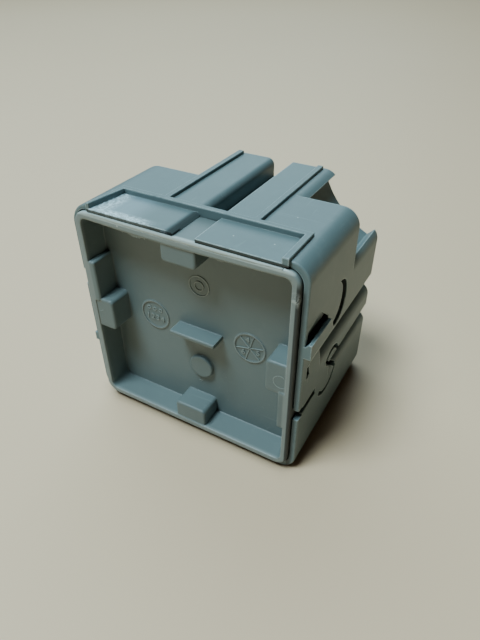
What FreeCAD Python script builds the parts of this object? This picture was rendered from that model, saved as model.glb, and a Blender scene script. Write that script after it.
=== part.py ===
"""Square flush back box with the plaster cover pressed into its mouth.

Millimetres. X runs to the right and Y into the wall for someone who faces the mouth, and Z runs up.
Everything is drawn round the middle of the cover's front edge, then set down so that the origin lies
on the bench, under the middle of the whole.
"""
import math
import os

import FreeCAD
import Part

V = FreeCAD.Vector

# Overall sizes
WIDTH = 52.8             # over the box's flat left and right sides
HEIGHT = 52.4            # from the bottom side to the flat top, without ribs
DEPTH = 41.7             # from the cover's front edge to the back of the box
COVER_PROUD = 1.0        # the cover stands this far before the box's edge
OVERCUT = 3.0            # cutters run past the faces that they open by this much
LEAST = 0.05             # shortest straight length or radius that an outline keeps
TOLERANCE = 1e-4

# Box shell
WALL = 1.2
BACK_WALL = 1.4
CORNER_R = 3.8
LEFT_CORNER_R = 5.2
EDGE_ROUND = 0.35
STEP_DEPTH = 25.2        # where the cut across the top right corner begins
NOTCH_STEP_DEPTH = 24.6  # where the square notch of the top left corner begins

# Cut corners of the rear
SQUARE_NOTCH = 16.6      # notch at the top left, measured in from both sides
SHOULDER = 11.8          # the top right corner is cut off square to its diagonal, this far in
SHOULDER_R = 3.4         # the cut begins with a round shoulder on both sides
CHANNEL_DEPTH = 2.2      # from the shoulders down to the slanted wall
CHANNEL_SAG = 1.3        # the slanted wall is hollow by this much at its middle

# Top side: ribs and the long slot
RIB_HEIGHT = 0.75
RIB_THICK = 1.3
RIB_ROUND = 0.2
CROSS_RIB_DEPTH = 9.5
FRAME_LEFT = -20.2
FRAME_LEFT_SPLAY = 1.1   # the frame's left rib moves out by this much towards the front
FRAME_RIGHT = 22.5
PANEL_FRONT = 0.25       # depth of the front edge of the thin panels inside the frame
PANEL_SINK = 0.4         # the panels lie this far below the top
PANEL_THICK = 0.5        # at their front edge
PANEL_UNDERCUT = 2.5
LONG_RIB_LEFT = -9.9
LONG_RIB_RIGHT = 10.5
RIB_END_GAP = 0.6        # the long ribs stop short of the back by this much
SLOT_SHARP = 4.1         # side of the long slot that keeps a sharp edge
SLOT_WIDTH = 4.8
SLOT_DEPTH = 4.2
SLOT_EDGE_R = 1.6

# Right side: two grooves between the three long lobes
GROOVE_DEPTH = 3.0
UPPER_GROOVE_SHARP = 2.8
UPPER_GROOVE_WIDTH = 3.0
UPPER_GROOVE_EDGE_R = 2.9
UPPER_GROOVE_START = 4.4
UPPER_GROOVE_RAMP = 0.8   # its depth beside the cover, where the wall has no room for more
LOWER_GROOVE_SHARP = -6.1
LOWER_GROOVE_WIDTH = 2.6
LOWER_GROOVE_EDGE_R = 2.5
LOWER_GROOVE_START = 17.0

# Right side: knock-outs for conduit
CUT_PAST_WALL = 0.5      # cutters for the knock-outs end this far inside the wall
CRESCENT_OUTER_Y = 17.4
CRESCENT_OUTER_Z = 8.8
CRESCENT_OUTER_R = 5.3
CRESCENT_INNER_Y = 14.8
CRESCENT_INNER_Z = 10.1
CRESCENT_INNER_R = 4.85
TEAR_SLOT = 1.1          # width of the curved slots round the lower knock-out
UPPER_ARC_Y = 18.2
UPPER_ARC_Z = -7.5
UPPER_ARC_R = 3.9
UPPER_ARC_FROM = 19.0    # angles from the depth axis, upwards
UPPER_ARC_TO = 147.0
LOWER_ARC_Y = 16.5
LOWER_ARC_Z = -8.9
LOWER_ARC_R = 5.3
LOWER_ARC_FROM = -144.0
LOWER_ARC_TO = -19.0

# Coupling between boxes: rail and catch notch at the right, groove and nub at the left
RAIL_LOW = 6.6
RAIL_HIGH = 9.3
RAIL_FLARE = 0.7
RAIL_HEIGHT = 1.3
RAIL_LENGTH = 11.6
RAIL_SLANT = 2.0         # the rail's upper side is shorter by this much at its rear end
HOOK_THICK = 0.65        # of the rail's outer plate, behind which the neighbour hooks in
HOOK_LOW = 7.8
COUPLING_CLEARANCE = 0.25
POCKET_HIGH = 13.1
POCKET_FRONT_DROP = 1.0  # the pocket is lower by this much at its front end
POCKET_FLANK = 0.8       # the pocket slopes in this far towards the rail
POCKET_LENGTH = 10.4
POCKET_SLANT = 4.6
POCKET_LIP = 0.8         # wall left before the pocket, at the box's edge
NUB_LOW = -10.0
NUB_WIDTH = 2.2
NUB_LENGTH = 1.7
NUB_HEIGHT = 0.8
SLIT_WIDTH = 1.7
SLIT_LENGTH = 8.6
VENT_WIDTH = 1.9
VENT_HEIGHT = 3.0
VENT_LOW = -0.6
VENT_SETBACK = 2.3

# Screw posts at the middle of each side
POST_WIDTH = 4.8
POST_THICK = 2.7
POST_INSET = 3.1         # from the wall's inner face to the post's middle
POST_FRONT = 2.0
POST_HOLE_R = 1.0
POST_HOLE_DEPTH = 7.6
WEB_THICK = 1.6

# Plaster cover
COVER_GAP = 0.2          # at the left and right, between the cover and the box's wall
COVER_FIT = 0.1          # the same at the top and bottom
COVER_CORNER_R = 3.1
COVER_WALL = 1.5
COVER_DRAFT = 0.25       # the inside narrows by this much on each side towards the floor
COVER_FLOOR_DEPTH = 5.8
COVER_FLOOR_THICK = 1.5
COVER_DEPTH = 9.3
COVER_SAG = 0.45         # the top side bows inwards at its middle
RIM_ROUND = 0.4
SOCKET_CLEARANCE = 0.3   # between a screw post and its socket in the cover
BLOCK_WIDTH = 7.9
BLOCK_REACH = 6.0        # from the cover's outer side to the block's inner face
BLOCK_ROUND = 0.9
BLOCK_EDGE_R = 0.45
PAD_THICK = 1.5
PAD_LENGTH = 9.3
GRIP_WIDTH = 11.0
GRIP_THICK = 1.0
GRIP_HEIGHT = 3.8
FLOOR_X = 0.5            # what stands on the floor is grouped round this place, not round the middle
BUTTON_R = 3.0
BUTTON_HEIGHT = 1.0
BUTTON_Z = -10.1
DIAL_R = 3.75
DIAL_LINE = 0.35
DIAL_RELIEF = 0.2
DIAL_X = 12.1
DIAL_Z = -0.1

HALF_W = WIDTH / 2
HALF_H = HEIGHT / 2
BOX_FRONT = COVER_PROUD
INSIDE_W = HALF_W - WALL
INSIDE_H = HALF_H - WALL
COVER_W = INSIDE_W - COVER_GAP
COVER_H = INSIDE_H - COVER_FIT
FLOOR_BACK = COVER_FLOOR_DEPTH + COVER_FLOOR_THICK
PANEL_TOP = HALF_H - PANEL_SINK
CROSS_RIB_END = CROSS_RIB_DEPTH + RIB_THICK
BEHIND_COVER = COVER_DEPTH + COVER_GAP

# The four sides, as turned from the top: angle, and how far out the wall and the cover reach
SIDES = [
    (0, INSIDE_H, COVER_H), (90, INSIDE_W, COVER_W),
    (180, INSIDE_H, COVER_H), (270, INSIDE_W, COVER_W),
]


def rounded_wire(left, right, low, high, radius, y=0.0, sag=0.0, left_radius=None):
    """Rectangle with round corners at depth y; its top side sags in an arc if asked."""
    r, lr = radius, left_radius or radius
    k, lk = r * (1 - math.sqrt(0.5)), lr * (1 - math.sqrt(0.5))
    bottom = Part.makeLine(V(left + lr, y, low), V(right - r, y, low))
    side_right = Part.makeLine(V(right, y, low + r), V(right, y, high - r))
    side_left = Part.makeLine(V(left, y, high - lr), V(left, y, low + lr))
    top_ends = V(right - r, y, high), V(left + lr, y, high)
    if sag:
        top = Part.Arc(top_ends[0], V((left + right) / 2, y, high - sag), top_ends[1]).toShape()
    else:
        top = Part.makeLine(*top_ends)
    corners = [
        Part.Arc(V(right - r, y, low), V(right - k, y, low + k), V(right, y, low + r)),
        Part.Arc(V(right, y, high - r), V(right - k, y, high - k), V(right - r, y, high)),
        Part.Arc(V(left + lr, y, high), V(left + lk, y, high - lk), V(left, y, high - lr)),
        Part.Arc(V(left, y, low + lr), V(left + lk, y, low + lk), V(left + lr, y, low)),
    ]
    arcs = [corner.toShape() for corner in corners]
    return Part.Wire([bottom, arcs[0], side_right, arcs[1], top, arcs[2], side_left, arcs[3]])


def along_depth(wire, start, end):
    """Solid that runs from depth start to depth end, from a wire drawn at depth 0."""
    solid = Part.Face(wire).extrude(V(0, end - start, 0))
    solid.translate(V(0, start, 0))
    return solid


def block(x0, x1, y0, y1, z0, z1):
    return Part.makeBox(x1 - x0, y1 - y0, z1 - z0, V(x0, y0, z0))


def prism(half_w, half_h, start, end, radius, left_radius=None):
    outline = rounded_wire(-half_w, half_w, -half_h, half_h, radius, left_radius=left_radius)
    return along_depth(outline, start, end)


def slab(outline, low, high):
    """Flat plate between two heights, from an outline of places on the top: across and in depth."""
    wire = Part.makePolygon([V(x, y, low) for x, y in outline + outline[:1]])
    return Part.Face(wire).extrude(V(0, 0, high - low))


def round_edges(shape, radius, chosen):
    """Round the edges of a shape for which chosen(edge) is true."""
    return shape.makeFillet(radius, [edge for edge in shape.Edges if chosen(edge)])


def lies_at(edge, y):
    """True for an edge that lies wholly at depth y."""
    return abs(edge.BoundBox.YMin - y) < TOLERANCE and abs(edge.BoundBox.YMax - y) < TOLERANCE


def on_side(side, along, out):
    """Point at depth 0 on the top or right side: a place along it, and the height over its face."""
    if side == "top":
        return V(along, 0, HALF_H + out)
    return V(HALF_W + out, 0, along)


def groove(side, sharp, width, depth, edge_r, start, end, grow=0.0):
    """Long groove in a side. One edge is sharp, the other rolls in; grow adds the wall round it."""
    near = sharp - width - grow
    far = sharp + grow
    bottom = -depth - grow
    middle = sharp - width - edge_r
    radius = max(edge_r - grow, LEAST)
    roll = [
        on_side(side, near, -edge_r),
        on_side(side, middle + radius * math.sqrt(0.5), radius * math.sqrt(0.5) - edge_r),
        on_side(side, middle, radius - edge_r),
    ]
    straight = [
        on_side(side, middle, OVERCUT), on_side(side, far, OVERCUT),
        on_side(side, far, bottom), on_side(side, near, bottom), roll[0],
    ]
    edges = [Part.Arc(*roll).toShape(), Part.makeLine(roll[2], straight[0])]
    edges += [Part.makeLine(a, b) for a, b in zip(straight, straight[1:])]
    return along_depth(Part.Wire(edges), start, end)


def left_notch(start, end, grow=0.0):
    """Square cut out of the rear's top left corner."""
    reach = SQUARE_NOTCH + grow
    return block(-HALF_W - OVERCUT, reach - HALF_W, start, end, HALF_H - reach, HALF_H + OVERCUT)


def right_outline():
    """Half of the cut across the top right corner: distances in from the right side and the top."""
    arc = []
    for step in range(3):
        turn = math.pi / 4 * step / 2
        along = SHOULDER + SHOULDER_R * (math.sqrt(0.5) - math.sin(turn))
        arc.append((along, SHOULDER_R * (1 - math.cos(turn))))
    sink = CHANNEL_DEPTH * math.sqrt(0.5)
    deep = (arc[2][0] + sink, arc[2][1] + sink)
    return arc, deep


def right_notch(start, end):
    """Cut square to the diagonal of the rear's top right corner, between two round shoulders."""
    def place(pair):
        return V(HALF_W - pair[0], 0, HALF_H - pair[1])

    arc, deep = right_outline()
    mirrored = [pair[::-1] for pair in arc]
    shoulder = arc[0][0]
    rest = [
        mirrored[0], (-OVERCUT, shoulder), (-OVERCUT, -OVERCUT), (shoulder, -OVERCUT), arc[0],
    ]
    middle = (sum(deep) + CHANNEL_SAG * math.sqrt(2)) / 2
    edges = [
        Part.Arc(*map(place, arc)).toShape(),
        Part.makeLine(place(arc[2]), place(deep)),
        Part.Arc(place(deep), place((middle, middle)), place(deep[::-1])).toShape(),
        Part.makeLine(place(deep[::-1]), place(mirrored[2])),
        Part.Arc(*map(place, mirrored[::-1])).toShape(),
    ]
    edges += [Part.makeLine(place(a), place(b)) for a, b in zip(rest, rest[1:])]
    return along_depth(Part.Wire(edges), start, end)


def right_bevel(start, end):
    """Part of the square that lies outside the slanted wall's inner face."""
    _, deep = right_outline()
    reach = sum(deep) + (CHANNEL_SAG + WALL) * math.sqrt(2) + OVERCUT
    right, top = HALF_W + OVERCUT, HALF_H + OVERCUT
    corners = [V(right, 0, top), V(right, 0, HALF_H - reach), V(HALF_W - reach, 0, top), V(right, 0, top)]
    return along_depth(Part.makePolygon(corners), start, end)


def grooves(grow=0.0):
    """The long slot of the top behind its cross rib, and the two grooves of the right side."""
    back = DEPTH + OVERCUT
    top = groove("top", SLOT_SHARP, SLOT_WIDTH, SLOT_DEPTH,
                 SLOT_EDGE_R, CROSS_RIB_END - grow, back, grow)
    upper = groove("right", UPPER_GROOVE_SHARP, UPPER_GROOVE_WIDTH, GROOVE_DEPTH,
                   UPPER_GROOVE_EDGE_R, BEHIND_COVER + WALL - grow, back, grow)
    lower = groove("right", LOWER_GROOVE_SHARP, LOWER_GROOVE_WIDTH, GROOVE_DEPTH,
                   LOWER_GROOVE_EDGE_R, LOWER_GROOVE_START - grow, back, grow)
    return top.fuse([upper, lower])


def groove_ramp():
    """Shallow front end of the upper groove: deepest at its sharp edge, from where it runs out."""
    reach = UPPER_GROOVE_WIDTH + UPPER_GROOVE_EDGE_R
    radius = (reach ** 2 + UPPER_GROOVE_RAMP ** 2) / (2 * UPPER_GROOVE_RAMP)
    middle_depth = radius - math.sqrt(radius ** 2 - reach ** 2 / 4)
    deep = V(HALF_W - UPPER_GROOVE_RAMP, 0, UPPER_GROOVE_SHARP)
    middle = V(HALF_W - middle_depth, 0, UPPER_GROOVE_SHARP - reach / 2)
    run_out = V(HALF_W, 0, UPPER_GROOVE_SHARP - reach)
    outside = [run_out, run_out + V(OVERCUT, 0, 0), V(HALF_W + OVERCUT, 0, UPPER_GROOVE_SHARP), deep]
    edges = [Part.Arc(deep, middle, run_out).toShape()]
    edges += [Part.makeLine(a, b) for a, b in zip(outside, outside[1:])]
    return along_depth(Part.Wire(edges), UPPER_GROOVE_START, BEHIND_COVER + WALL)


def panels(front, low, high):
    """Plate between the frame's ribs, from the given depth back to the cross rib."""
    right = FRAME_RIGHT - RIB_THICK / 2
    left = FRAME_LEFT + RIB_THICK / 2
    outline = [
        (left, CROSS_RIB_END), (left - FRAME_LEFT_SPLAY, front), (right, front), (right, CROSS_RIB_END),
    ]
    return slab(outline, low, high)


def outer_form():
    """Outside of the box without ribs: the full square, and the rear with its corners cut."""
    form = prism(HALF_W, HALF_H, BOX_FRONT, DEPTH, CORNER_R, LEFT_CORNER_R)
    form = round_edges(form, EDGE_ROUND, lambda edge: lies_at(edge, BOX_FRONT))
    back = DEPTH + OVERCUT
    form = form.cut([left_notch(NOTCH_STEP_DEPTH, back), right_notch(STEP_DEPTH, back), grooves()])
    form = form.cut([groove_ramp(), panels(BOX_FRONT - OVERCUT, PANEL_TOP, HALF_H + OVERCUT)])
    return form.fuse(panels(PANEL_FRONT, PANEL_TOP - PANEL_THICK, PANEL_TOP))


def panel_undercut():
    """Gap between the panels' thin front edge and the cover."""
    return block(FRAME_LEFT, FRAME_RIGHT, PANEL_FRONT - OVERCUT, PANEL_FRONT + PANEL_UNDERCUT,
                 INSIDE_H - OVERCUT, PANEL_TOP - PANEL_THICK)


def screw_post(angle, inside):
    """Post at the middle of one side, with the web that ties it to the wall behind the cover."""
    half = POST_WIDTH / 2
    middle = inside - POST_INSET
    low, high = middle - POST_THICK / 2, middle + POST_THICK / 2
    body = along_depth(rounded_wire(-half, half, low, high, POST_THICK / 2 - LEAST), POST_FRONT, DEPTH)
    web = block(-WEB_THICK / 2, WEB_THICK / 2, BEHIND_COVER, DEPTH, middle, inside + WALL / 2)
    hole = Part.makeCylinder(POST_HOLE_R, POST_HOLE_DEPTH, V(0, POST_FRONT, middle), V(0, 1, 0))
    post = body.fuse(web).cut(hole)
    post.rotate(V(0, 0, 0), V(0, 1, 0), angle)
    return post


def inside_form():
    """Hollow of the box: what the cover and the wiring device have for themselves."""
    hollow = prism(INSIDE_W, INSIDE_H, BOX_FRONT - OVERCUT, DEPTH - BACK_WALL, COVER_CORNER_R)
    walls = [
        left_notch(NOTCH_STEP_DEPTH - WALL, DEPTH, WALL),
        right_bevel(STEP_DEPTH - WALL, DEPTH),
        grooves(WALL),
    ]
    posts = [screw_post(angle, inside) for angle, inside, _ in SIDES]
    return hollow.cut(walls + posts)


def top_ribs():
    """Raised frame round the front panels and the two long ribs behind it."""
    low = INSIDE_H
    high = HALF_H + RIB_HEIGHT
    rib_end = DEPTH - RIB_END_GAP
    left_rib = slab([
        (FRAME_LEFT, CROSS_RIB_END), (FRAME_LEFT - FRAME_LEFT_SPLAY, PANEL_FRONT),
        (FRAME_LEFT - FRAME_LEFT_SPLAY + RIB_THICK / 2, PANEL_FRONT),
        (FRAME_LEFT + RIB_THICK, CROSS_RIB_END),
    ], low, high)
    straight = [
        block(FRAME_RIGHT - RIB_THICK, FRAME_RIGHT, PANEL_FRONT, CROSS_RIB_END, low, high),
        block(FRAME_LEFT, FRAME_RIGHT, CROSS_RIB_DEPTH, CROSS_RIB_END, low, high),
    ]
    straight += [
        block(left, left + RIB_THICK, CROSS_RIB_DEPTH, rib_end, low, high)
        for left in (LONG_RIB_LEFT, LONG_RIB_RIGHT)
    ]
    ribs = left_rib.fuse(straight).removeSplitter()
    ribs = round_edges(ribs, RIB_ROUND, lambda edge: edge.BoundBox.ZMin > high - RIB_ROUND)
    clear_of_cover = prism(INSIDE_W, INSIDE_H, BOX_FRONT - OVERCUT, BEHIND_COVER, COVER_CORNER_R)
    return ribs.cut([clear_of_cover, panel_undercut()])


def front_slot():
    """Open part of the long slot, through the wall before the cross rib."""
    return groove("top", SLOT_SHARP, SLOT_WIDTH, WALL + OVERCUT, SLOT_EDGE_R,
                  BOX_FRONT - OVERCUT, CROSS_RIB_DEPTH)


def through_right(shape, start=INSIDE_W - OVERCUT):
    """Turn a flat outline drawn over depth and height into a cutter through the right wall."""
    cutter = shape.extrude(V(HALF_W + OVERCUT - start, 0, 0))
    cutter.translate(V(start, 0, 0))
    return cutter


def disc(radius, depth, height):
    circle = Part.makeCircle(radius, V(0, depth, height), V(1, 0, 0))
    return Part.Face(Part.Wire(circle))


def crescent():
    """Crescent slot that leaves the upper knock-out hanging on its front side."""
    outer = disc(CRESCENT_OUTER_R, CRESCENT_OUTER_Y, CRESCENT_OUTER_Z)
    inner = disc(CRESCENT_INNER_R, CRESCENT_INNER_Y, CRESCENT_INNER_Z)
    return through_right(outer.cut(inner), INSIDE_W - CUT_PAST_WALL)


def arc_point(depth, height, radius, angle):
    turn = math.radians(angle)
    return V(0, depth + radius * math.cos(turn), height + radius * math.sin(turn))


def arc_slot(depth, height, radius, angle_from, angle_to):
    """Cutter for a slot along part of a circle."""
    ring = disc(radius + TEAR_SLOT / 2, depth, height).cut(disc(radius - TEAR_SLOT / 2, depth, height))
    far = 2 * radius
    middle = (angle_from + angle_to) / 2
    angles = (angle_from, middle, angle_to)
    corners = [V(0, depth, height)] + [arc_point(depth, height, far, angle) for angle in angles]
    wedge = Part.Face(Part.makePolygon(corners + corners[:1]))
    return through_right(ring.common(wedge))


def tear_slots():
    """S-shaped slot across the lower knock-out: two arcs and the slanted bar between them."""
    upper = arc_slot(UPPER_ARC_Y, UPPER_ARC_Z, UPPER_ARC_R, UPPER_ARC_FROM, UPPER_ARC_TO)
    lower = arc_slot(LOWER_ARC_Y, LOWER_ARC_Z, LOWER_ARC_R, LOWER_ARC_FROM, LOWER_ARC_TO)
    start = arc_point(UPPER_ARC_Y, UPPER_ARC_Z, UPPER_ARC_R, UPPER_ARC_TO)
    end = arc_point(LOWER_ARC_Y, LOWER_ARC_Z, LOWER_ARC_R, LOWER_ARC_TO)
    along = end - start
    side = V(1, 0, 0).cross(along).normalize() * (TEAR_SLOT / 2)
    corners = [start + side, end + side, end - side, start - side]
    bar = through_right(Part.Face(Part.makePolygon(corners + corners[:1])))
    return upper.fuse([lower, bar])


def hook_slot():
    """Slot behind the rail's outer plate and through the wall, where the neighbour hooks in."""
    front = BOX_FRONT + POCKET_LIP
    return block(INSIDE_W - OVERCUT, HALF_W + RAIL_HEIGHT - HOOK_THICK, front, front + POCKET_LENGTH,
                 HOOK_LOW, RAIL_HIGH + RAIL_FLARE / 2)


def coupling_rail():
    """Rail with one flared side, flush with the box's edge, for the next box to slide on."""
    root = HALF_W - WALL / 2
    tip = HALF_W + RAIL_HEIGHT
    high = RAIL_HIGH + RAIL_FLARE
    profile = Part.makePolygon([
        V(root, 0, RAIL_LOW), V(tip, 0, RAIL_LOW), V(tip, 0, high), V(tip - HOOK_THICK, 0, high),
        V(HALF_W, 0, RAIL_HIGH), V(root, 0, RAIL_HIGH), V(root, 0, RAIL_LOW),
    ])
    end = BOX_FRONT + RAIL_LENGTH
    side = Part.makePolygon([
        V(0, BOX_FRONT, RAIL_LOW), V(0, end, RAIL_LOW), V(0, end - RAIL_SLANT, high),
        V(0, BOX_FRONT, high), V(0, BOX_FRONT, RAIL_LOW),
    ])
    return along_depth(profile, BOX_FRONT, end).common(through_right(Part.Face(side))).cut(hook_slot())


def rail_pocket():
    """Recess above the rail, which slopes in towards the hook slot."""
    front = BOX_FRONT + POCKET_LIP
    back = front + POCKET_LENGTH
    outline = Part.makePolygon([
        V(0, front, RAIL_HIGH), V(0, back, RAIL_HIGH), V(0, back - POCKET_SLANT, POCKET_HIGH),
        V(0, front, POCKET_HIGH - POCKET_FRONT_DROP), V(0, front, RAIL_HIGH),
    ])
    outside = HALF_W + OVERCUT
    slope = Part.makePolygon([
        V(HALF_W - POCKET_FLANK, 0, RAIL_HIGH), V(HALF_W, 0, POCKET_HIGH), V(outside, 0, POCKET_HIGH),
        V(outside, 0, RAIL_HIGH), V(HALF_W - POCKET_FLANK, 0, RAIL_HIGH),
    ])
    return through_right(Part.Face(outline)).common(along_depth(slope, front, back))


def rail_groove():
    """Opening in the left wall that takes the neighbour's rail."""
    low = RAIL_LOW - COUPLING_CLEARANCE
    high = RAIL_HIGH + RAIL_FLARE + COUPLING_CLEARANCE
    end = BOX_FRONT + RAIL_LENGTH + COUPLING_CLEARANCE
    return block(-HALF_W - OVERCUT, -INSIDE_W + OVERCUT, BOX_FRONT - OVERCUT, end, low, high)


def coupling_nub():
    """Catch at the left that snaps into the notch of the next box."""
    tip = -HALF_W - NUB_HEIGHT
    nub = block(tip, WALL / 2 - HALF_W, BOX_FRONT, BOX_FRONT + NUB_LENGTH, NUB_LOW, NUB_LOW + NUB_WIDTH)
    return round_edges(nub, EDGE_ROUND, lambda edge: edge.BoundBox.XMax < tip + EDGE_ROUND)


def catch_notch():
    """Notch in the right edge for the neighbour's nub, and the slit that lets it spring."""
    x0, x1 = INSIDE_W - OVERCUT, HALF_W + OVERCUT
    notch = block(x0, x1, BOX_FRONT - OVERCUT, BOX_FRONT + NUB_LENGTH + COUPLING_CLEARANCE,
                  NUB_LOW - COUPLING_CLEARANCE, NUB_LOW + NUB_WIDTH + COUPLING_CLEARANCE)
    slit_low = NUB_LOW + (NUB_WIDTH - SLIT_WIDTH) / 2
    slit = block(x0, x1, BOX_FRONT, BOX_FRONT + SLIT_LENGTH, slit_low, slit_low + SLIT_WIDTH)
    return notch.fuse(slit)


def vent_hole():
    """Small opening behind the right edge, under the rail."""
    depth = BOX_FRONT + VENT_SETBACK
    return block(INSIDE_W - OVERCUT, HALF_W + OVERCUT, depth, depth + VENT_WIDTH,
                 VENT_LOW, VENT_LOW + VENT_HEIGHT)


def back_box():
    """One-piece outer box."""
    body = outer_form().cut(inside_form())
    for opening in (panel_undercut(), front_slot(), crescent(), tear_slots(), rail_pocket(),
                    hook_slot(), rail_groove(), catch_notch(), vent_hole()):
        body = body.cut(opening)
    return body.fuse([top_ribs(), coupling_rail(), coupling_nub()]).removeSplitter()


def cover_outline(inset, radius, y=0.0):
    """Outline of the cover, moved inwards on every side."""
    half_w, half_h = COVER_W - inset, COVER_H - inset
    return rounded_wire(-half_w, half_w, -half_h, half_h, radius, y, COVER_SAG)


def cover_tray():
    """Shallow tray with a floor part of the way down and a skirt behind the floor."""
    tray = along_depth(cover_outline(0, COVER_CORNER_R), 0, COVER_DEPTH)
    tray = round_edges(tray, RIM_ROUND, lambda edge: lies_at(edge, 0))
    inner_r = COVER_CORNER_R - COVER_WALL
    mouth = cover_outline(COVER_WALL, inner_r)
    bottom = cover_outline(COVER_WALL + COVER_DRAFT, inner_r, COVER_FLOOR_DEPTH)
    hollow = Part.makeLoft([mouth, bottom], True)
    return tray.cut([hollow, along_depth(mouth, FLOOR_BACK, COVER_DEPTH + OVERCUT)])


def socket_block(angle, inside, outside):
    """Block at the middle of a side that covers a screw post, and the hollow for that post."""
    half = BLOCK_WIDTH / 2
    low = outside - BLOCK_REACH
    high = outside - COVER_SAG - RIM_ROUND
    front = RIM_ROUND / 2
    body = along_depth(rounded_wire(-half, half, low, high, BLOCK_ROUND), front, COVER_DEPTH)
    body = round_edges(body, BLOCK_EDGE_R, lambda edge: lies_at(edge, front))
    half = POST_WIDTH / 2 + SOCKET_CLEARANCE
    reach = POST_THICK / 2 + SOCKET_CLEARANCE
    middle = inside - POST_INSET
    hollow = along_depth(
        rounded_wire(-half, half, middle - reach, middle + reach, reach - LEAST),
        POST_FRONT - SOCKET_CLEARANCE, COVER_DEPTH + OVERCUT)
    for shape in (body, hollow):
        shape.rotate(V(0, 0, 0), V(0, 1, 0), angle)
    return body, hollow


def side_pads():
    """Thicker stretches of the left and right walls, next to their blocks."""
    inner = COVER_W - COVER_WALL - PAD_THICK
    start = BLOCK_WIDTH / 2 - BLOCK_ROUND
    end = start + BLOCK_ROUND + PAD_LENGTH
    wall_middle = COVER_W - COVER_WALL / 2
    left = block(-wall_middle, -inner, 0, FLOOR_BACK, start, end)
    right = block(inner, wall_middle, 0, FLOOR_BACK, -end, -start)
    return [pad.makeFillet(BLOCK_EDGE_R, pad.Edges) for pad in (left, right)]


def grip():
    """Rib in the middle of the floor by which pliers pull the cover out."""
    left, right = FLOOR_X - GRIP_WIDTH / 2, FLOOR_X + GRIP_WIDTH / 2
    front = COVER_FLOOR_DEPTH - GRIP_HEIGHT
    rib = block(left, right, front, FLOOR_BACK, -GRIP_THICK / 2, GRIP_THICK / 2)
    return round_edges(rib, RIB_ROUND, lambda edge: lies_at(edge, front))


def button():
    """Round boss on the floor, where the plastic was let into the mould."""
    start = COVER_FLOOR_DEPTH - BUTTON_HEIGHT
    boss = Part.makeCylinder(BUTTON_R, FLOOR_BACK - start, V(FLOOR_X, start, BUTTON_Z), V(0, 1, 0))
    return round_edges(boss, EDGE_ROUND, lambda edge: lies_at(edge, start))


def dial_rings():
    """Fine raised rings of the two mould dials on the floor."""
    start = COVER_FLOOR_DEPTH - DIAL_RELIEF
    depth = DIAL_RELIEF + COVER_FLOOR_THICK / 2
    rings = []
    for x in (-DIAL_X, DIAL_X):
        foot = V(FLOOR_X + x, start, DIAL_Z)
        outer = Part.makeCylinder(DIAL_R, depth, foot, V(0, 1, 0))
        rings.append(outer.cut(Part.makeCylinder(DIAL_R - DIAL_LINE, depth, foot, V(0, 1, 0))))
    return rings


def plaster_cover():
    """One-piece cover that keeps plaster out of the box."""
    tray = cover_tray()
    blocks, hollows = zip(*(socket_block(*side) for side in SIDES))
    cover = tray.fuse(list(blocks) + side_pads() + [grip(), button()] + dial_rings())
    return cover.cut(list(hollows)).removeSplitter()


def main():
    os.makedirs("parts", exist_ok=True)
    set_down = V((NUB_HEIGHT - RAIL_HEIGHT) / 2, -DEPTH / 2, HALF_H)
    for name, shape in (("back_box", back_box()), ("plaster_cover", plaster_cover())):
        shape.translate(set_down)
        print(name, len(shape.Solids), shape.isValid(), round(shape.Volume), shape.BoundBox)
        shape.exportStep(f"parts/{name}.step")


main()
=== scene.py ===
"""Flush back box with the plaster cover in its mouth, dressed for a studio picture."""
import math
import random

import bmesh
import bpy
from mathutils import Matrix, Vector


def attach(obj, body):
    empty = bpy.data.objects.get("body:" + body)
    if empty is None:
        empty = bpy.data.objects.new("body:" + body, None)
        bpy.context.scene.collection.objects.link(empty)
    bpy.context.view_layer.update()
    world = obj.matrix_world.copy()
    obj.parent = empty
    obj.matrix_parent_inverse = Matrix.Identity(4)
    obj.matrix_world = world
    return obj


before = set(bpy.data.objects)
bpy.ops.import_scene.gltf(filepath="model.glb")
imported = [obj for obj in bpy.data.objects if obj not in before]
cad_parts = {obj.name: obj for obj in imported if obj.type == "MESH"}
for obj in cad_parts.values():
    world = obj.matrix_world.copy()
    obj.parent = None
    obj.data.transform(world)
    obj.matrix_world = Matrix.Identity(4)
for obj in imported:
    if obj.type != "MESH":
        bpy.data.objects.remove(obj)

MM = 0.001

# Places in millimetres, read from the middle of the cover's front edge:
# X to the right, Y into the wall, Z up
COVER_FRONT = Vector((-0.25, -20.85, 26.2))

# Outer box
BOX_TOP = 26.2
BOX_SIDE = 26.4           # outside of its right wall
BOX_INSIDE = 25.2         # and inside of that wall
BOX_EDGE = 1.0            # depth of its front edge

# Two thin panels inside the frame on the top, and the open slot between them
PANELS_LEFT = -20.7       # both ends run into the frame's ribs
PANELS_RIGHT = 21.8
PANELS_BACK = 9.5         # depth of the cross rib behind them
PANEL_TOP = 25.8
PANEL_UNDERSIDE = 25.3
PANEL_FRONT = 0.25
PANEL_UNDERCUT = 2.5      # they are thin from their front edge to this far behind it
LIP_FRONT = 0.3           # the lips under them begin a little deeper
SLOT_LEFT = -0.7
SLOT_RIGHT = 4.1

# Crescent of the upper knock-out: middle of its outer circle, halfway through the right wall
CRESCENT = (25.8, 17.4, 8.8)
CRESCENT_R = 5.3

# Plaster cover
COVER_TOP = 24.9          # outside of its upper wall, at the wall's ends
COVER_WALL = 1.5
COVER_SAG = 0.45          # the upper wall hangs this much lower at its middle
SAG_REACH = 21.9          # from the middle to where the sag ends
RIM_INSIDE = 23.5         # inside of its left and right walls
BEAD_TOP = 24.97          # top of the rim's straight upper edge
FLOOR_DEPTH = 5.8
FLOOR_MIDDLE = 0.5        # what stands on the floor is grouped round this place
BLOCK_FRONT = 0.2         # depth of the front faces of the two side blocks

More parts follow.
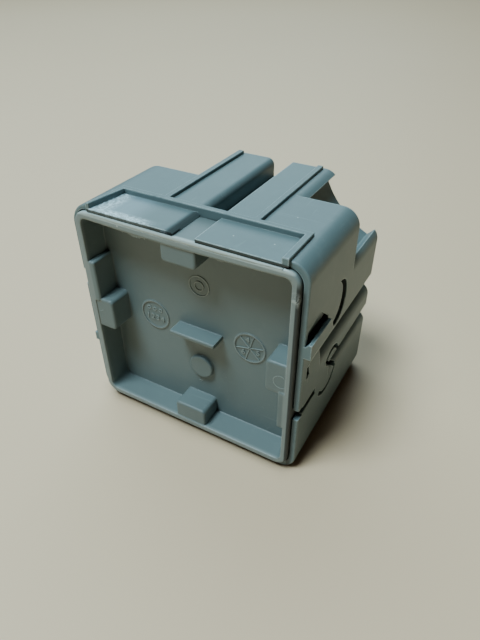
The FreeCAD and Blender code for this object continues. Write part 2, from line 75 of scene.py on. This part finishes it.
# Mould dials on the cover's floor, and the marks on them
DIAL_OFFSET = 12.1
DIAL_HEIGHT = -0.1
DIAL_R = 3.75
SPOKE_LENGTH = 3.3        # just short of the dial's raised ring
MARK_RELIEF = 0.17
MARK_WIDTH = 0.26


def place(x, y, z):
    """Point of the row frame, in metres, from a place in millimetres."""
    return (COVER_FRONT + Vector((x, y, z))) * MM


def cover_sag(x):
    """How far the cover's upper wall hangs below its ends, at a place across."""
    return COVER_SAG * (1 - (x / SAG_REACH) ** 2)


class Wire:
    """Output socket of a node tree that can be used in sums and products."""

    def __init__(self, tree, socket):
        self.tree = tree
        self.socket = socket

    def maths(self, operation, *values):
        return self.tree.node("ShaderNodeMath", dict(enumerate(values)), operation=operation)

    def __add__(self, other):
        return self.maths("ADD", self, other)

    __radd__ = __add__

    def __sub__(self, other):
        return self.maths("SUBTRACT", self, other)

    def __rsub__(self, other):
        return self.maths("SUBTRACT", other, self)

    def __mul__(self, other):
        return self.maths("MULTIPLY", self, other)

    def size(self):
        return self.maths("ABSOLUTE", self)

    def or_more(self, other):
        return self.maths("MAXIMUM", self, other)

    def above(self, low, high):
        """0 below low, 1 above high, and a smooth rise between them."""
        inputs = {"Value": self, "From Min": low, "From Max": high}
        return self.tree.node("ShaderNodeMapRange", inputs, interpolation_type="SMOOTHSTEP")

    def below(self, low, high):
        """1 below low, 0 above high, and a smooth fall between them."""
        return 1 - self.above(low, high)


class Tree:
    """Node tree that is put together from expressions."""

    def __init__(self, tree):
        self.tree = tree

    def node(self, kind, inputs=None, out=0, **settings):
        """Add a node: its settings first, then the values or wires of its sockets."""
        node = self.tree.nodes.new(kind)
        for name, value in settings.items():
            setattr(node, name, value)
        for name, value in (inputs or {}).items():
            if isinstance(value, Wire):
                self.tree.links.new(value.socket, node.inputs[name])
            else:
                node.inputs[name].default_value = value
        return Wire(self, node.outputs[out])


class Finish(Tree):
    """Material whose patterns lie still on the object."""

    def __init__(self, name):
        self.material = bpy.data.materials.new(name)
        self.material.use_nodes = True
        super().__init__(self.material.node_tree)
        self.shader = self.tree.nodes["Principled BSDF"]
        self.spot = self.node("ShaderNodeTexCoord", out="Object")

    def feed(self, socket, value):
        """Set one of the shader's own sockets to a wire or to a value."""
        if isinstance(value, Wire):
            self.tree.links.new(value.socket, self.shader.inputs[socket])
        else:
            self.shader.inputs[socket].default_value = value

    def noise(self, scale, detail, roughness, spot=None):
        inputs = {"Vector": spot or self.spot, "Scale": scale, "Detail": detail, "Roughness": roughness}
        return self.node("ShaderNodeTexNoise", inputs, out="Fac")

    def lines(self, scale, turn, thin):
        """Fine lines along the axis with the smallest scale, after a turn; thin is from 0 to 1."""
        inputs = {"Vector": self.spot, "Scale": scale, "Rotation": turn}
        spot = self.node("ShaderNodeMapping", inputs)
        return self.noise(1.0, detail=2.0, roughness=0.4, spot=spot).above(thin, thin + 0.06)

    def near(self, centre, inner, outer):
        """1 within inner millimetres of a place, and 0 beyond outer millimetres."""
        inputs = {0: self.spot, 1: centre}
        gap = self.node("ShaderNodeVectorMath", inputs, out="Value", operation="DISTANCE")
        return gap.below(inner * MM, outer * MM)

    def mix(self, share, first, second):
        inputs = {"Factor": share, 6: first, 7: second}
        return self.node("ShaderNodeMix", inputs, out=2, data_type="RGBA")

    def specks(self, scale, size, rarity):
        """Tiny grains, in a few cells of a scattered pattern."""
        inputs = {"Vector": self.spot, "Scale": scale}
        cells = self.node("ShaderNodeTexVoronoi", inputs, out="Distance")
        pick = self.node("ShaderNodeTexVoronoi", inputs, out="Color")
        chance = self.node("ShaderNodeSeparateColor", {"Color": pick}, out="Red")
        return cells.below(size * 0.5, size) * chance.above(rarity, rarity + 0.01)

    def open_sky(self, reach):
        """1 where nothing stands within reach millimetres, down to 0 in a narrow gap."""
        inputs = {"Distance": reach * MM}
        return self.node("ShaderNodeAmbientOcclusion", inputs, out="AO", samples=8)


def colour(red, green, blue):
    return red, green, blue, 1.0


DUST = colour(0.52, 0.56, 0.54)
SHADE = colour(0.014, 0.018, 0.018)


class Plastic(Finish):
    """Satin moulded plastic: flow marks, mould texture, rubbed edges partly lit by a painted highlight,
    hairlines, specks, and painted shade in narrow gaps and corners.
    """

    def __init__(self, name, body, dark, pale, roughness, rounding, wear_and_highlight):
        """Edges look rounded over rounding millimetres; a pale band along them, as wide as the last
        argument in millimetres, is rubbed wear and partly a painted highlight.
        """
        super().__init__(name)
        self.pale = pale
        flow = self.noise(38.0, detail=4.0, roughness=0.55)
        mottle = self.noise(300.0, detail=3.0, roughness=0.6)
        self.tone = self.mix(flow.above(0.36, 0.68) * 0.6, body, dark)
        self.tone = self.mix(mottle.above(0.5, 0.76) * 0.06, self.tone, pale)
        self.matt = roughness + mottle * 0.12
        fine = self.noise(2300.0, detail=2.0, roughness=0.6)
        ripple = self.noise(320.0, detail=3.0, roughness=0.55)
        self.height = fine * 0.3 + ripple * 0.7
        self.normal = self.node("ShaderNodeBevel", {"Radius": rounding * MM}, samples=8)

        sky = self.open_sky(2.2)
        self.edge = self.rounded_off(wear_and_highlight) * sky.above(0.6, 0.78)
        patchy_edge = self.noise(520.0, detail=4.0, roughness=0.65)
        # pale edges: rubbed wear, and partly a painted highlight along the convex edges
        self.mark(self.edge * patchy_edge.above(0.25, 0.5), pale, 0.85)
        hairs = self.lines(scale=(60.0, 1100.0, 900.0), turn=(0.1, 0.35, 0.5), thin=0.66)
        hairs = hairs.or_more(self.lines(scale=(1100.0, 90.0, 1000.0), turn=(0.5, 0.2, -0.3), thin=0.68))
        self.mark(hairs * flow.above(0.45, 0.6), pale, 0.14, matt=0.08, height=-0.4)
        self.mark(self.specks(scale=210.0, size=0.028, rarity=0.95), DUST, 0.7, height=1.2)
        # painted shade: darkened where near faces hem the surface in, in slots, gaps and inner corners
        self.mark(sky.below(0.22, 0.58), SHADE, 0.88)

    def rounded_off(self, width):
        """1 along edges, where a surface that is rounded over width millimetres leaves the flat one."""
        normals = {
            0: self.node("ShaderNodeBevel", {"Radius": width * MM}, samples=6),
            1: self.node("ShaderNodeNewGeometry", out="Normal"),
        }
        level = self.node("ShaderNodeVectorMath", normals, out="Value", operation="DOT_PRODUCT")
        return (1 - level).above(0.004, 0.05)

    def mark(self, mask, tint, share, matt=0.0, height=0.0):
        """Tint the plastic where mask is 1, and change how matt and how high it is there."""
        self.tone = self.mix(mask * share, self.tone, tint)
        if matt:
            self.matt = self.matt + mask * matt
        if height:
            self.height = self.height + mask * height

    def lean_right(self, zone, turned):
        """Lean the surface over to the right in a zone: level where turned is 0, steep at 1."""
        lean = self.node("ShaderNodeCombineXYZ", {"X": turned * 0.85, "Z": 1 - turned * 0.5})
        inputs = {"Factor": zone, 4: self.normal, 5: lean}
        bent = self.node("ShaderNodeMix", inputs, out=1, data_type="VECTOR")
        self.normal = self.node("ShaderNodeVectorMath", {0: bent}, operation="NORMALIZE")

    def box_axes(self):
        """Millimetres across, in depth and up, from the middle of the cover's front edge."""
        inputs = {0: self.spot, 1: COVER_FRONT * MM}
        spot = self.node("ShaderNodeVectorMath", inputs, operation="SUBTRACT")
        spot = self.node("ShaderNodeVectorMath", {0: spot, "Scale": 1 / MM}, operation="SCALE")
        return [self.node("ShaderNodeSeparateXYZ", {0: spot}, out=axis) for axis in "XYZ"]

    def finished(self):
        self.feed("Base Color", self.tone)
        self.feed("Roughness", self.matt)
        inputs = {"Height": self.height, "Strength": 0.35, "Distance": 0.05 * MM, "Normal": self.normal}
        self.feed("Normal", self.node("ShaderNodeBump", inputs))
        return self.material


def box_plastic():
    """Outer box: worn with a painted sheen and rolled over with painted shade on its left front panel,
    painted shade in its gaps, and small pits.
    """
    made = Plastic(
        "box_plastic", body=colour(0.100, 0.150, 0.158), dark=colour(0.084, 0.128, 0.136),
        pale=colour(0.36, 0.44, 0.44), roughness=0.40, rounding=0.26, wear_and_highlight=0.4,
    )
    across, depth, up = made.box_axes()
    panels = depth.below(PANELS_BACK - 0.2, PANELS_BACK) * up.above(BEAD_TOP + 0.05, BEAD_TOP + 0.13)
    panels = panels * up.below(PANEL_TOP + 0.05, PANEL_TOP + 0.15)
    roll_over(made, panels, across - SLOT_LEFT)
    polish_with_painted_sheen(made, panels, across, depth)
    darken_gaps(made, across, depth, up)
    pits = (26.7, 4.6, 25.0), (17.4, 5.4, PANEL_TOP), (16.9, 16.1, BOX_TOP), (9.6, 4.6, PANEL_TOP)
    for pit in pits:
        made.mark(made.near(place(*pit), 0.1, 0.2), DUST, 0.6, height=2.0)
    return made.finished()


def roll_over(made, panels, from_slot):
    """Let the left panel roll over towards the open slot, with painted shade darkening it near the slot.

    from_slot is how far to the right of the slot's left side a spot lies.
    """
    rolled = panels * from_slot.above(-2.9, -2.3) * from_slot.below(0.0, 0.1)
    # painted shade on the rolled edge near the slot, laid over the pale edge there
    made.mark(rolled * from_slot.above(-1.7, -1.0), colour(0.088, 0.122, 0.126), 0.9)
    made.lean_right(rolled, from_slot.above(-2.7, -0.2))


def polish_with_painted_sheen(made, panels, across, depth):
    """Wear the left panel to a shine, partly real and partly a painted bluish sheen, with painted glints
    that are grainy along its left end and its front edge.
    """
    skin = panels * across.above(PANELS_LEFT - 0.3, PANELS_LEFT + 0.1)
    left_end = across.below(-18.9, -15.5)
    front_edge = depth.below(0.8, 2.6) * across.below(-9.5, -4.5)
    worn_and_sheen = skin * left_end.or_more(front_edge)
    grain = made.noise(1500.0, detail=3.0, roughness=0.7).above(0.4, 0.62)
    # painted sheen: a bluish reflection over the middle of the left panel
    made.mark(skin * across.below(-14.0, -7.5), colour(0.26, 0.38, 0.45), 0.35, matt=-0.06)
    made.mark(worn_and_sheen, made.pale, 0.3, matt=-0.1)
    # painted glints in the grain of the worn parts
    made.mark(worn_and_sheen * grain, colour(0.66, 0.86, 0.95), 0.8, matt=-0.1, height=0.6)


def darken_gaps(made, across, depth, up):
    """Shade the edge beside the cover at the right, the crescent's sides and the lips' fronts."""
    right_wall = across.above(BOX_INSIDE - 0.8, BOX_INSIDE - 0.5)
    beside_cover = right_wall * across.below(BOX_INSIDE, BOX_INSIDE + 1.1) * up.below(19.0, 23.0)
    beside_cover = beside_cover * depth.below(BOX_EDGE + 0.05, BOX_EDGE + 0.2)
    made.mark(beside_cover, SHADE, 0.7, matt=0.1)
    crescent = made.near(place(*CRESCENT), CRESCENT_R + 0.4, CRESCENT_R + 1.0) * up.above(4.9, 5.3)
    crescent = crescent * right_wall * across.below(BOX_SIDE - 0.3, BOX_SIDE - 0.1)
    made.mark(crescent, SHADE, 0.9, matt=0.2)
    lip_fronts = depth.below(LIP_FRONT + 0.04, LIP_FRONT + 0.1) * up.above(24.0, 24.1)
    lip_fronts = lip_fronts * up.below(PANEL_TOP - 0.2, PANEL_TOP - 0.08)
    made.mark(lip_fronts, SHADE, 0.85, matt=0.2)


def cover_plastic():
    """Plaster cover: its rim is rubbed pale, with a painted highlight along its top and painted shade
    beside the box at the right, a ragged patch at the right and a nick.
    """
    made = Plastic(
        "cover_plastic", body=colour(0.112, 0.150, 0.152), dark=colour(0.096, 0.130, 0.133),
        pale=colour(0.27, 0.31, 0.30), roughness=0.43, rounding=0.55, wear_and_highlight=0.3,
    )
    across, depth, up = made.box_axes()
    outwards = across.size().or_more(up.size())
    rim = depth.below(0.3, 1.0) * outwards.above(RIM_INSIDE - 0.5, RIM_INSIDE)
    made.mark(rim, made.pale, 0.42, matt=-0.05)
    # painted highlight along the top of the rim, where light from above catches it
    made.mark(rim * up.above(24.0, 24.4), colour(0.42, 0.49, 0.47), 0.75, matt=-0.05)
    # painted shade on the rim's right side, in the gap beside the box
    beside_box = across.above(24.2, 24.45) * up.below(RIM_INSIDE - 2.0, RIM_INSIDE)
    made.mark(beside_box, SHADE, 0.92, matt=0.2)
    ragged = made.noise(900.0, detail=4.0, roughness=0.7).above(0.46, 0.6)
    made.mark(made.near(place(23.9, 0.0, 19.4), 0.7, 2.1) * ragged, DUST, 0.4, height=3.0)
    made.mark(made.near(place(-13.6, 0.0, 23.9), 0.1, 0.25), DUST, 0.6, height=2.0)
    for side in (-DIAL_OFFSET, DIAL_OFFSET):
        centre = place(FLOOR_MIDDLE + side, FLOOR_DEPTH, DIAL_HEIGHT)
        dial = made.near(centre, DIAL_R + 0.25, DIAL_R + 0.65)
        made.mark(dial * made.edge, made.pale, 0.3)
    return made.finished()


def mark_plastic():
    """Raised marks, rings and thin skins of the cover: paler than the cover itself."""
    made = Plastic(
        "mark_plastic", body=colour(0.17, 0.215, 0.21), dark=colour(0.14, 0.18, 0.18),
        pale=colour(0.33, 0.37, 0.36), roughness=0.42, rounding=0.1, wear_and_highlight=0.12,
    )
    return made.finished()


def bench_finish():
    """Pale floor, with painted shade close to the box."""
    made = Finish("pale_bench")
    drift = made.noise(2.5, detail=2.0, roughness=0.5).above(0.3, 0.8) * 0.35
    tone = made.mix(drift, colour(0.68, 0.50, 0.33), colour(0.62, 0.44, 0.28))
    contact_shade = made.open_sky(7.0).below(0.3, 0.85)
    # painted shade: the floor is darkened where the box stands close over it
    made.feed("Base Color", made.mix(contact_shade * 0.8, tone, colour(0.13, 0.09, 0.05)))
    made.feed("Roughness", 0.6)
    return made.material


def repeat_tree():
    """Geometry Nodes that set a mark out in a row, or turn it round its middle."""
    group = bpy.data.node_groups.new("repeated_mark", "GeometryNodeTree")
    kinds = {
        "Mark": "NodeSocketGeometry", "Count": "NodeSocketInt", "Spacing": "NodeSocketFloat",
        "First Turn": "NodeSocketFloat", "Turn": "NodeSocketFloat", "Finish": "NodeSocketMaterial",
    }
    names = {
        name: group.interface.new_socket(name=name, in_out="INPUT", socket_type=kind).identifier
        for name, kind in kinds.items()
    }
    group.interface.new_socket(name="Marks", in_out="OUTPUT", socket_type="NodeSocketGeometry")
    tree = Tree(group)
    given = group.nodes.new("NodeGroupInput")
    mark, count, spacing, first, turn, finish = (Wire(tree, given.outputs[name]) for name in kinds)
    index = tree.node("GeometryNodeInputIndex")
    along = (index - (count - 1) * 0.5) * spacing
    spots = tree.node("GeometryNodePoints", {
        "Count": count, "Position": tree.node("ShaderNodeCombineXYZ", {"X": along}),
    })
    copies = tree.node("GeometryNodeInstanceOnPoints", {
        "Points": spots, "Instance": mark,
        "Rotation": tree.node("ShaderNodeCombineXYZ", {"Z": first + index * turn}),
    })
    solid = tree.node("GeometryNodeRealizeInstances", {"Geometry": copies})
    dressed = tree.node("GeometryNodeSetMaterial", {"Geometry": solid, "Material": finish})
    result = group.nodes.new("NodeGroupOutput")
    group.links.new(dressed.socket, result.inputs["Marks"])
    return group, names


class Marks:
    """Raised marks of one kind that end up as one mesh in the row frame."""

    def __init__(self, name, finish):
        self.name = name
        self.finish = finish
        self.shape = bmesh.new()

    def add_copies(self, mark, where, count=1, spacing=0.0, first_turn=0.0, turn=0.0):
        """Repeat a mark drawn flat, in millimetres, through Geometry Nodes."""
        mesh = bpy.data.meshes.new("mark")
        mark.to_mesh(mesh)
        mark.free()
        holder = bpy.data.objects.new("mark", mesh)
        bpy.context.scene.collection.objects.link(holder)
        repeat = holder.modifiers.new("repeat", "NODES")
        repeat.node_group, names = REPEAT
        values = {
            "Count": count, "Spacing": spacing, "First Turn": first_turn, "Turn": turn,
            "Finish": self.finish,
        }
        for name, value in values.items():
            repeat[names[name]] = value
        self.take(holder, where)
        bpy.data.meshes.remove(mesh)

    def add_number(self, words, where, size):
        """Raised figure, centred on a place."""
        text = bpy.data.curves.new("figure", "FONT")
        text.body = words
        text.size = size
        text.offset = 0.035
        text.align_x = "CENTER"
        text.align_y = "CENTER"
        text.extrude = MARK_RELIEF
        text.resolution_u = 3
        holder = bpy.data.objects.new("figure", text)
        bpy.context.scene.collection.objects.link(holder)
        self.take(holder, where)
        bpy.data.curves.remove(text)

    def take(self, holder, where):
        """Add what an object shows, as a plain mesh, at a place, and drop the object."""
        bpy.context.view_layer.update()
        shown = holder.evaluated_get(bpy.context.evaluated_depsgraph_get())
        solid = bpy.data.meshes.new_from_object(shown)
        holder.modifiers.clear()
        solid.transform(where @ Matrix.Scale(MM, 4))
        self.shape.from_mesh(solid)
        bpy.data.meshes.remove(solid)
        bpy.data.objects.remove(holder)

    def made(self):
        return clean_mesh(self.name, self.shape, self.finish)


def clean_mesh(name, shape, material):
    """Object at the origin from a bmesh whose points are already in the row frame."""
    bmesh.ops.recalc_face_normals(shape, faces=shape.faces)
    mesh = bpy.data.meshes.new(name)
    shape.to_mesh(mesh)
    shape.free()
    mesh.materials.clear()
    mesh.materials.append(material)
    for face in mesh.polygons:
        face.material_index = 0
    made = bpy.data.objects.new(name, mesh)
    bpy.context.scene.collection.objects.link(made)
    return made


def upright(x, z, depth):
    """Matrix that stands a flat drawing up at a place, facing the mouth."""
    return Matrix.Translation(place(x, depth, z)) @ Matrix.Rotation(math.radians(90), 4, "X")


def bridge(shape, rows):
    """Faces between neighbouring rows of points, each of which closes on itself."""
    for first, second in zip(rows, rows[1:]):
        for corner in range(len(first)):
            following = (corner + 1) % len(first)
            shape.faces.new([first[corner], second[corner], second[following], first[following]])


def solid_strip(shape, rows):
    """Solid between rows of points that draw the same outline at several places."""
    bridge(shape, rows)
    shape.faces.new(rows[0][::-1])
    shape.faces.new(rows[-1])


def ring(radius, line, relief, steps):
    """Raised ring with its edges eased, drawn flat in millimetres."""
    shape = bmesh.new()
    inner = radius - line
    profile = [
        (inner, -relief), (inner, relief * 0.7), (inner + line * 0.25, relief),
        (radius - line * 0.25, relief), (radius, relief * 0.7), (radius, -relief),
    ]
    loops = []
    for step in range(steps):
        turn = 2 * math.pi * step / steps
        loops.append([shape.verts.new((r * math.cos(turn), r * math.sin(turn), h)) for r, h in profile])
    bridge(shape, loops + loops[:1])
    return shape


def bar(start, end, width, relief):
    """Raised bar with a narrower top, drawn flat in millimetres along X."""
    shape = bmesh.new()
    foot, crest = width * 0.5, width * 0.3
    outline = (-foot, -relief), (foot, -relief), (crest, relief), (-crest, relief)
    solid_strip(shape, [[shape.verts.new((x, y, z)) for y, z in outline] for x in (start, end)])
    return shape


def dial_marks(finish):
    """Figures and lines of the two mould dials on the cover's floor."""
    marks = Marks("dial_marks", finish)
    left = FLOOR_MIDDLE - DIAL_OFFSET
    right = FLOOR_MIDDLE + DIAL_OFFSET
    zeros = ring(radius=0.52, line=MARK_WIDTH, relief=MARK_RELIEF, steps=18)
    marks.add_copies(zeros, upright(left, DIAL_HEIGHT + 1.55, FLOOR_DEPTH), count=3, spacing=1.55)
    for column in range(4):
        where = upright(left + (column - 1.5) * 1.3, DIAL_HEIGHT - 0.75, FLOOR_DEPTH)
        marks.add_number(str(column + 1), where, size=2.0)
    spoke = bar(0.0, SPOKE_LENGTH, MARK_WIDTH, MARK_RELIEF)
    marks.add_copies(spoke, upright(right, DIAL_HEIGHT, FLOOR_DEPTH), count=6,
                     first_turn=math.radians(14), turn=math.radians(60))
    figures_from_middle = 2.1
    for sector in range(3):
        turn = math.radians(104 - 120 * sector)
        x = right + figures_from_middle * math.cos(turn)
        z = DIAL_HEIGHT + figures_from_middle * math.sin(turn)
        marks.add_number(str(sector + 4), upright(x, z, FLOOR_DEPTH), size=1.9)
    return marks.made()


def mould_rings(finish):
    """Plain marks of the mould's pins: on the floor, and on the side blocks' fronts."""
    marks = Marks("mould_rings", finish)
    above_grip = upright(FLOOR_MIDDLE + 0.2, 11.5, FLOOR_DEPTH)
    marks.add_copies(ring(radius=2.5, line=0.28, relief=MARK_RELIEF, steps=48), above_grip)
    marks.add_copies(ring(radius=1.2, line=0.25, relief=MARK_RELIEF, steps=30), above_grip)
    right_block = upright(22.35, -0.6, BLOCK_FRONT)
    marks.add_copies(ring(radius=1.6, line=0.16, relief=0.05, steps=36), right_block)
    left_block = upright(-22.3, 0.7, BLOCK_FRONT)
    marks.add_copies(bar(-0.6, 0.6, width=0.2, relief=0.06), left_block, first_turn=0.5)
    below_button = upright(FLOOR_MIDDLE - 0.7, -15.2, FLOOR_DEPTH)
    cross = bar(-0.55, 0.55, width=0.2, relief=0.08)
    marks.add_copies(cross, below_button, count=2, turn=math.radians(90))
    return marks.made()


def rim_flash(finish):
    """Ragged skin of plastic left along the inner edge of the cover's rim."""
    draw = random.Random(11)
    shape = bmesh.new()
    step_length = 0.16
    stretches = (-14.2, -5.2, 0.6), (-10.2, -6.6, 1.1), (7.4, 11.0, 0.3)
    for start, end, reach in stretches:
        steps = int((end - start) / step_length)
        drop = reach * 0.5
        rows = []
        for step in range(steps + 1):
            x = start + (end - start) * step / steps
            edge = COVER_TOP - COVER_WALL - cover_sag(x)
            drop = min(max(drop + draw.uniform(-0.28, 0.28) * reach, 0.08 * reach), reach)
            tip = edge - drop * math.sin(math.pi * step / steps) ** 0.5
            lean = 0.14 + draw.uniform(-0.1, 0.1)
            outline = (0.1, edge + 0.2), (lean, tip), (lean + 0.07, tip), (0.28, edge + 0.2)
            rows.append([shape.verts.new(place(x, y, z)) for y, z in outline])
        solid_strip(shape, rows)
    return clean_mesh("rim_flash", shape, finish)


def panel_lips(finish):
    """Thickening under the front edge of the two thin panels, down to the cover."""
    shape = bmesh.new()
    gap, overlap, steps = 0.14, 0.1, 12
    head = PANEL_UNDERSIDE + overlap
    back = PANEL_FRONT + PANEL_UNDERCUT + overlap
    for left, right in ((PANELS_LEFT, SLOT_LEFT - 0.15), (SLOT_RIGHT, PANELS_RIGHT)):
        rows = []
        for step in range(steps + 1):
            x = left + (right - left) * step / steps
            foot = COVER_TOP + gap - cover_sag(x)
            outline = [(LIP_FRONT, head), (LIP_FRONT + 0.01, foot + 0.1), (LIP_FRONT + 0.1, foot)]
            outline += [(back, foot), (back, head)]
            rows.append([shape.verts.new(place(x, y, z)) for y, z in outline])
        solid_strip(shape, rows)
    return clean_mesh("panel_lips", shape, finish)


def rim_bead(finish):
    """Upper edge of the cover's rim, which runs straight above its sagging wall.

    Between the two panels it reaches back to the cross rib, level with the open slot's floor.
    """
    shape = bmesh.new()
    start, end, steps = -21.0, 21.6, 24
    slot_start, slot_end, corner = SLOT_LEFT - 0.14, SLOT_RIGHT - 0.02, 0.02
    places = [start + (end - start) * step / steps for step in range(steps + 1)]
    places += [slot_start, slot_start + corner, slot_end - corner, slot_end]
    rows = []
    for x in sorted(places):
        foot = COVER_TOP - 0.3 - cover_sag(x)
        rise = BEAD_TOP - foot
        back = PANELS_BACK if slot_start < x < slot_end else 0.3
        outline = [(0.03, foot), (0.0, foot + 0.3 * rise), (0.05, foot + 0.72 * rise)]
        outline += [(0.13, foot + 0.93 * rise), (0.24, BEAD_TOP), (back, BEAD_TOP), (back, foot)]
        rows.append([shape.verts.new(place(x, y, z)) for y, z in outline])
    solid_strip(shape, rows)
    return clean_mesh("rim_bead", shape, finish)


def bench(material):
    """Plain pale floor that curves up far behind the box, drawn in metres."""
    shape = bmesh.new()
    half_width, front, curve_start, curve, height, steps = 2.2, -1.2, 1.1, 0.5, 1.8, 16
    profile = [(front, 0.0)]
    for step in range(steps + 1):
        turn = math.radians(90 * step / steps)
        profile.append((curve_start + curve * math.sin(turn), curve - curve * math.cos(turn)))
    profile.append((curve_start + curve, height))
    rows = [[shape.verts.new((x, y, z)) for x in (-half_width, half_width)] for y, z in profile]
    for first, second in zip(rows, rows[1:]):
        shape.faces.new([first[0], first[1], second[1], second[0]])
    made = clean_mesh("bench", shape, material)
    for face in made.data.polygons:
        face.use_smooth = True
    return made


def lamp(name, where, size, power, tint):
    """Soft lamp that looks at the middle of the box; its place and size are in metres."""
    light = bpy.data.lights.new(name, "AREA")
    light.shape = "RECTANGLE"
    light.size, light.size_y = size
    light.energy = power
    light.color = tint
    made = bpy.data.objects.new(name, light)
    middle = Vector((0.0, 0.0, 0.026))
    made.location = where
    made.rotation_euler = (middle - Vector(where)).to_track_quat("-Z", "Y").to_euler()
    bpy.context.scene.collection.objects.link(made)


def lights():
    """Cool window behind, cool sky above the front, a faint warm wall before it, and a dim room."""
    lamp("window_behind", where=(-0.60, 0.70, 0.78), size=(1.3, 0.9), power=11.5, tint=(0.64, 0.90, 1.0))
    lamp("skylight_front", where=(-0.19, -0.35, 0.91), size=(0.34, 0.3), power=14.5, tint=(0.70, 0.92, 1.0))
    lamp("wall_front", where=(-0.50, -0.95, 0.30), size=(0.7, 0.5), power=1.0, tint=(1.0, 0.82, 0.62))
    world = bpy.data.worlds.new("studio")
    world.use_nodes = True
    background = world.node_tree.nodes["Background"]
    background.inputs["Color"].default_value = colour(1.0, 0.90, 0.76)
    background.inputs["Strength"].default_value = 0.03
    bpy.context.scene.world = world


def camera():
    """Camera at the photograph's angle, fitted to the cover's square rim."""
    right = Vector((0.87074, 0.49175, -0.00057))
    down = Vector((0.29706, -0.52693, -0.79630))
    ahead = Vector((-0.39188, 0.69320, -0.60490))
    view = bpy.data.cameras.new("view")
    view.sensor_fit = "AUTO"
    view.sensor_width = 36.0
    view.lens = 29.39
    view.clip_start = 0.005
    made = bpy.data.objects.new("view", view)
    turn = Matrix((right, -down, -ahead)).transposed().to_4x4()
    made.matrix_world = Matrix.Translation(place(51.617, -67.392, 70.238)) @ turn
    bpy.context.scene.collection.objects.link(made)
    bpy.context.scene.camera = made


def main():
    """Dress the two nodes, add the forms that only the picture has, and lay the floor."""
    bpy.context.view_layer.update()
    camera()
    lights()
    box_finish = box_plastic()
    cover_finish = cover_plastic()
    for name, material in (("back_box", box_finish), ("plaster_cover", cover_finish)):
        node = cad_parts[name]
        node.data.materials.clear()
        node.data.materials.append(material)
    lips = panel_lips(box_finish)
    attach(lips, "root")
    raised = mark_plastic()
    for piece in (dial_marks(raised), mould_rings(raised), rim_flash(raised), rim_bead(cover_finish)):
        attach(piece, "root")
    bench(bench_finish())


REPEAT = repeat_tree()
main()
